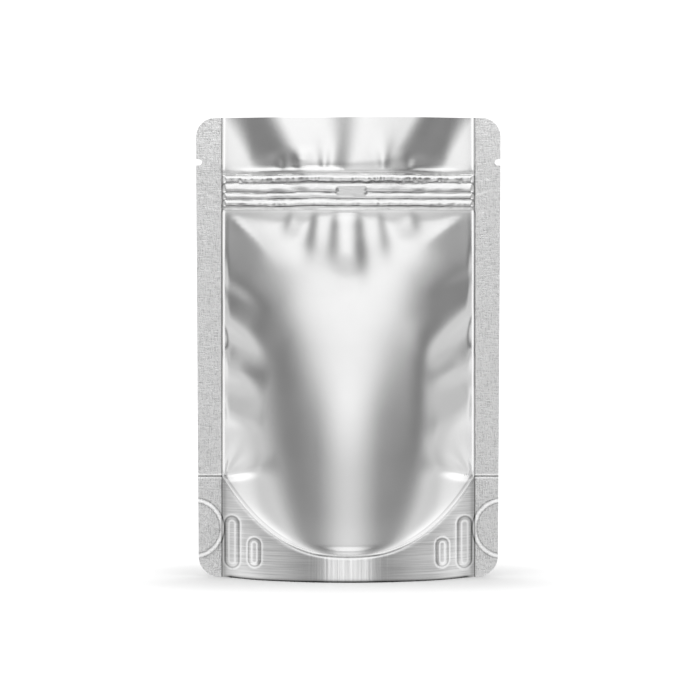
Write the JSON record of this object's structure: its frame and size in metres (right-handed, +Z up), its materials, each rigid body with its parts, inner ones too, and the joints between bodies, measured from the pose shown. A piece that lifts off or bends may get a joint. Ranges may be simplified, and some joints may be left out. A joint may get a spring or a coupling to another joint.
{
  "type": "foil stand-up zip pouch",
  "caption": "Shut, filled foil stand-up pouch with a press zip, welded side seals, tear notches and a curved foot seal over a folded base.",
  "frame": {"origin": "on the surface that the pouch stands on, under the middle of its base", "axes": "+X across the pouch to the right seen from the front, -Y the front, +Z up to the mouth"},
  "size_m": [0.1196, 0.049, 0.18],
  "materials": {
    "foil": "satin metallised film, knurled along the side seals and brushed on the skirt"
  },
  "bodies": {
    "root": {"pouch": "foil"}
  },
  "joints": []
}
